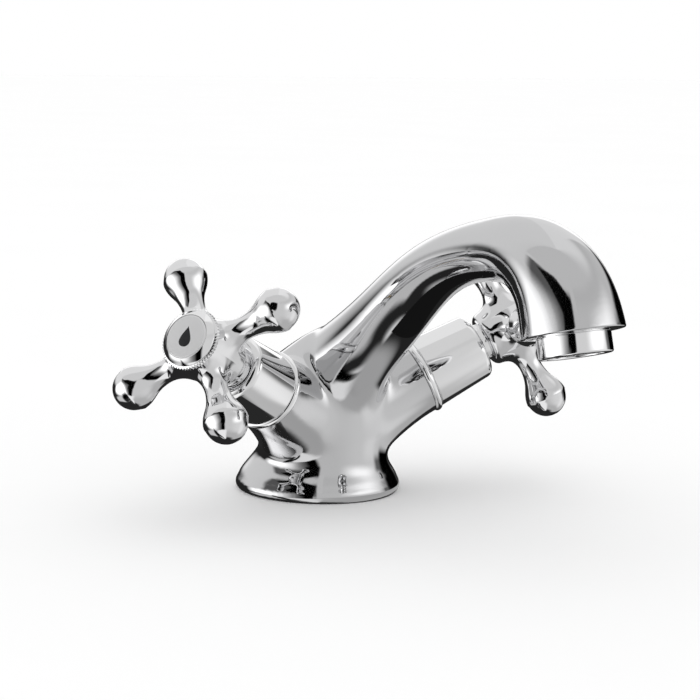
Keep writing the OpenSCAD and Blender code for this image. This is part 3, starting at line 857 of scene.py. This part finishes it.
def make_camera():
    a, e, roll = (math.radians(v) for v in (CAMERA_AZIMUTH, CAMERA_HEIGHT, CAMERA_ROLL))
    back = Vector((math.sin(a) * math.cos(e), -math.cos(a) * math.cos(e), math.sin(e)))
    right = Vector((math.cos(a), math.sin(a), 0))
    up = back.cross(right)
    right, up = right * math.cos(roll) + up * math.sin(roll), up * math.cos(roll) - right * math.sin(roll)
    aim = Vector((AIM_ACROSS * math.cos(a), AIM_ACROSS * math.sin(a), AIM_UP))
    matrix = Matrix((right, up, back)).transposed().to_4x4()
    matrix.translation = (aim + back * CAMERA_DISTANCE) * MM
    data = bpy.data.cameras.new("camera")
    data.lens, data.sensor_width = CAMERA_LENS, 36
    data.clip_start, data.clip_end = 0.02, 50
    camera = bpy.data.objects.new("camera", data)
    camera.matrix_world = matrix
    bpy.context.scene.collection.objects.link(camera)
    bpy.context.scene.camera = camera


FLOOR_HALF = 6000


def square(half, z):
    return [[-half, -half, z], [half, -half, z], [half, half, z], [-half, half, z]]


def make_floor():
    """A plain pale floor; reflections pass through it to the studio's panels below the horizon."""
    material, tree, shader = new_material("pale_floor", (0.93, 0.93, 0.93), 0.0, 0.9)
    tree.links.new(tinted(tree, noise(tree, 6, 3), (0.925, 0.925, 0.925), (0.935, 0.935, 0.935)),
                   shader.inputs["Base Color"])
    floor = mesh_from("floor", square(FLOOR_HALF, 0), [[0, 1, 2, 3]], material)
    floor.visible_glossy = False


class Sums:
    """Arithmetic on sockets of a node tree."""

    def __init__(self, tree):
        self.tree = tree

    def __call__(self, operation, *values):
        node = self.tree.nodes.new("ShaderNodeMath")
        node.operation = operation
        for socket, value in zip(node.inputs, values):
            if isinstance(value, (int, float)):
                socket.default_value = value
            else:
                self.tree.links.new(value, socket)
        return node.outputs[0]

    def rise(self, value, start, end):
        """0 below start, 1 above end, and a smooth step between."""
        node = self.tree.nodes.new("ShaderNodeMapRange")
        node.interpolation_type = "SMOOTHSTEP"
        node.inputs["From Min"].default_value = min(start, end)
        node.inputs["From Max"].default_value = max(start, end)
        node.inputs["To Min"].default_value = 0 if start < end else 1
        node.inputs["To Max"].default_value = 1 if start < end else 0
        self.tree.links.new(value, node.inputs["Value"])
        return node.outputs["Result"]


MAT_R, MAT_SOFT, MAT_LEFT = 56, 14, -6
MAT_BORE, MAT_BORE_SOFT = 29, 3
MAT_Z = -0.2
ARCH_FLAG = (-98, 82), (-53, 62)  # forward y and height z of its two ends
ARCH_FLAG_HALF = 8


def make_card(name, corners, brightness, cover=None):
    """A studio card that only reflections see; cover gives how much of it shows, from its nodes."""
    material = bpy.data.materials.new(name)
    material.use_nodes = True
    tree = material.node_tree
    tree.nodes.remove(tree.nodes["Principled BSDF"])
    glow = tree.nodes.new("ShaderNodeEmission")
    glow.inputs["Strength"].default_value = brightness
    surface = glow.outputs["Emission"]
    if cover:
        mix = tree.nodes.new("ShaderNodeMixShader")
        clear = tree.nodes.new("ShaderNodeBsdfTransparent")
        tree.links.new(cover(Sums(tree)), mix.inputs["Fac"])
        tree.links.new(clear.outputs["BSDF"], mix.inputs[1])
        tree.links.new(surface, mix.inputs[2])
        surface = mix.outputs["Shader"]
    tree.links.new(surface, tree.nodes["Material Output"].inputs["Surface"])
    piece = mesh_from(name, corners, [list(range(len(corners)))], material)
    piece.visible_camera = False
    piece.visible_diffuse = False
    piece.visible_shadow = False
    piece.visible_transmission = False


def mat_cover(sums):
    """Full near the foot on the camera's right, fading towards the mat's rim and its left side."""
    tree = sums.tree
    place = tree.nodes.new("ShaderNodeTexCoord")
    turned = tree.nodes.new("ShaderNodeVectorRotate")
    turned.rotation_type = "Z_AXIS"
    turned.inputs["Angle"].default_value = -math.radians(CAMERA_AZIMUTH)
    tree.links.new(place.outputs["Object"], turned.inputs["Vector"])
    split = tree.nodes.new("ShaderNodeSeparateXYZ")
    tree.links.new(turned.outputs["Vector"], split.inputs["Vector"])
    x, y, _ = split.outputs
    reach = sums("SQRT", sums("ADD", sums("MULTIPLY", x, x), sums("MULTIPLY", y, y)))
    near = sums("MULTIPLY", sums.rise(reach, MAT_R * MM, (MAT_R - MAT_SOFT) * MM),
                sums.rise(reach, MAT_BORE * MM, (MAT_BORE + MAT_BORE_SOFT) * MM))
    return sums("MULTIPLY", near, sums.rise(x, MAT_LEFT * MM, MAT_SOFT * MM))


def make_cards():
    """A pale mat round the foot's right side, and a black card that hides it from the arch."""
    make_card("reflected_mat", square(MAT_R, MAT_Z), 0.50, mat_cover)
    far, near = ARCH_FLAG
    left, right = -ARCH_FLAG_HALF, ARCH_FLAG_HALF
    make_card("arch_flag", [[left, *far], [right, *far], [right, *near], [left, *near]], 0.01)


DARK = 0.015
FLAT_FACING = -50
FLAT_LEAST = 0.05  # a flat panel is seen only where a direction's part towards it is more than this


class Studio:
    """The photographer's panels and flags as seen from the faucet, each laid over those before it.

    A panel's limits are degrees round from the first view (positive to its right) and degrees above
    the horizon. A flat panel faces FLAT_FACING, and its limits are tangents of the angles across it.
    Limits may slope along the panel, and soft and level_soft are the widths of its edges' fades.
    """

    def __init__(self, sums, direction):
        self.sums = sums
        self.light = DARK
        tree = sums.tree
        turned = tree.nodes.new("ShaderNodeVectorRotate")
        turned.rotation_type = "Z_AXIS"
        turned.inputs["Angle"].default_value = -math.radians(CAMERA_AZIMUTH)
        tree.links.new(direction, turned.inputs["Vector"])
        x, y, z = self.parts(turned.outputs["Vector"])
        degrees = 180 / math.pi
        self.around = sums("MULTIPLY", sums("ARCTAN2", x, sums("MULTIPLY", y, -1)), degrees)
        self.above = sums("MULTIPLY", sums("ARCSINE", z), degrees)
        facing = tree.nodes.new("ShaderNodeVectorRotate")
        facing.rotation_type = "Z_AXIS"
        facing.inputs["Angle"].default_value = -math.radians(FLAT_FACING)
        tree.links.new(turned.outputs["Vector"], facing.inputs["Vector"])
        x, y, z = self.parts(facing.outputs["Vector"])
        ahead = sums("MULTIPLY", y, -1)
        self.in_front = sums("GREATER_THAN", ahead, FLAT_LEAST)
        ahead = sums("MAXIMUM", ahead, FLAT_LEAST)
        self.across = sums("DIVIDE", x, ahead)
        self.up = sums("DIVIDE", z, ahead)

    def parts(self, vector):
        node = self.sums.tree.nodes.new("ShaderNodeSeparateXYZ")
        self.sums.tree.links.new(vector, node.inputs["Vector"])
        return node.outputs

    def panel(self, brightness, left=None, right=None, bottom=None, top=None, soft=10, level_soft=10,
              bottom_slope=0, top_slope=0, flat=False):
        sums = self.sums
        side = self.across if flat else self.around
        level = self.up if flat else self.above
        middle = 0 if left is None or right is None else (left + right) / 2
        masks = [self.in_front] if flat else []
        if left is not None:
            masks.append(sums.rise(side, left - soft / 2, left + soft / 2))
        if right is not None:
            masks.append(sums.rise(side, right + soft / 2, right - soft / 2))
        for limit, slope, out in ((bottom, bottom_slope, -1), (top, top_slope, 1)):
            if limit is None:
                continue
            height = level
            if slope:
                height = sums("SUBTRACT", level, sums("MULTIPLY", sums("SUBTRACT", side, middle), slope))
            masks.append(sums.rise(height, limit + out * level_soft / 2, limit - out * level_soft / 2))
        cover = masks[0]
        for mask in masks[1:]:
            cover = sums("MULTIPLY", cover, mask)
        change = sums("MULTIPLY", cover, sums("SUBTRACT", brightness, self.light))
        self.light = sums("ADD", self.light, change)


CHROME_SHARE = 0.65  # about what the body's chrome sends back: the panels are brighter by as much
EVEN_LEAST, EVEN_RISE = 0.74, 0.5  # the soft light on all that isn't polished, and its rise upwards
EVEN_LOW, EVEN_HIGH = -10, 70  # the degrees above the horizon between which it rises


def make_world():
    world = bpy.data.worlds.new("studio")
    bpy.context.scene.world = world
    world.use_nodes = True
    tree = world.node_tree
    sums = Sums(tree)
    place = tree.nodes.new("ShaderNodeTexCoord")
    studio = Studio(sums, place.outputs["Generated"])
    # the room above the horizon, brighter behind the faucet
    studio.panel(0.46, bottom=8, soft=1, level_soft=16)
    studio.panel(0.56, right=-85, bottom=8, soft=60, level_soft=14)
    studio.panel(0.62, left=95, bottom=20, soft=60, level_soft=20)
    # the right wall and the floor before it, the right softbox and its bright parts, and the dark beyond
    studio.panel(0.34, left=-5, right=148, bottom=-70, top=46, soft=3, level_soft=14)
    studio.panel(0.45, left=-5, right=148, bottom=-34, top=46, soft=3, level_soft=34)
    studio.panel(0.52, left=45, right=116, bottom=-36, top=20, soft=50, level_soft=24)
    studio.panel(0.60, left=80, right=106, bottom=-40, top=-4, soft=20, level_soft=24)
    studio.panel(0.95, left=48, right=98, bottom=8, top=29, soft=40, level_soft=18)
    studio.panel(DARK, left=112, top=-225, top_slope=1.33, soft=6, level_soft=8)
    # the floor in front: a pale strip, then a part lit by the left softbox
    studio.panel(0.66, left=-50, right=6, bottom=-82, top=-27, soft=16, level_soft=8)
    studio.panel(0.44, left=-120, right=-72, bottom=-50, top=-28, soft=10, level_soft=8,
                 bottom_slope=-0.44)
    # the left softbox: its dim edge, its wide glow, its bright middle, the flag over it and the ceiling
    studio.panel(0.08, left=-0.78, right=0.62, bottom=-0.60, top=1.02, soft=0.3, level_soft=0.12, flat=True)
    studio.panel(0.50, left=-1.9, right=0.24, bottom=-0.62, top=0.44, soft=0.6, level_soft=0.4, flat=True)
    studio.panel(1.30, left=-1.35, right=-0.10, bottom=-0.44, top=0.26, soft=0.8, level_soft=0.5, flat=True)
    studio.panel(0.0, left=-0.55, right=1.05, bottom=0.62, top=1.20, soft=0.3, level_soft=0.08,
                 bottom_slope=-0.36, top_slope=0.45, flat=True)
    studio.panel(0.46, left=-0.9, right=1.6, bottom=1.16, soft=0.1, level_soft=0.10, flat=True)
    # the upright flag between the softboxes, in two parts, and a dark band aslant over the pale strip
    studio.panel(0.0, left=-25, right=-2, bottom=6, top=42, soft=5, level_soft=10)
    studio.panel(0.0, left=-20, right=-3, bottom=-27, top=14, soft=8, level_soft=8)
    studio.panel(0.0, left=-68, right=-24, bottom=-66, top=-47, soft=6, level_soft=8,
                 bottom_slope=-1.2, top_slope=-1.2)
    # behind the faucet: a dark doorway and a bright sheet round the back
    studio.panel(0.10, left=106, right=158, bottom=-8, top=14, soft=12, level_soft=12)
    studio.panel(0.0, left=120, right=157, bottom=-15, top=16, soft=10, level_soft=8)
    studio.panel(0.95, left=160, bottom=2, top=22, soft=8, level_soft=10)
    studio.panel(0.90, right=-152, bottom=3, top=18, soft=24, level_soft=10)

    seen = tree.nodes.new("ShaderNodeLightPath")
    camera, glossy = seen.outputs["Is Camera Ray"], seen.outputs["Is Glossy Ray"]
    mirrored = sums("MULTIPLY", sums("DIVIDE", studio.light, CHROME_SHARE), glossy)
    rise = sums("MULTIPLY", sums.rise(studio.above, EVEN_LOW, EVEN_HIGH), EVEN_RISE)
    even = sums("MULTIPLY", sums("SUBTRACT", 1, glossy), sums("ADD", EVEN_LEAST, rise))
    unseen = sums("MULTIPLY", sums("SUBTRACT", 1, camera), sums("ADD", mirrored, even))
    background = tree.nodes["Background"]
    background.inputs["Color"].default_value = (1, 1, 1, 1)
    # the backdrop behind the faucet is plain white
    tree.links.new(sums("ADD", camera, unseen), background.inputs["Strength"])
    bpy.context.scene.view_settings.view_transform = "Standard"


make_camera()
make_floor()
make_cards()
make_world()
make_body()
make_aerator()
shared = {}
for side in SIDES:
    make_valve(side)
    make_index(side, make_handle(side, shared))
finish_cad_nodes()
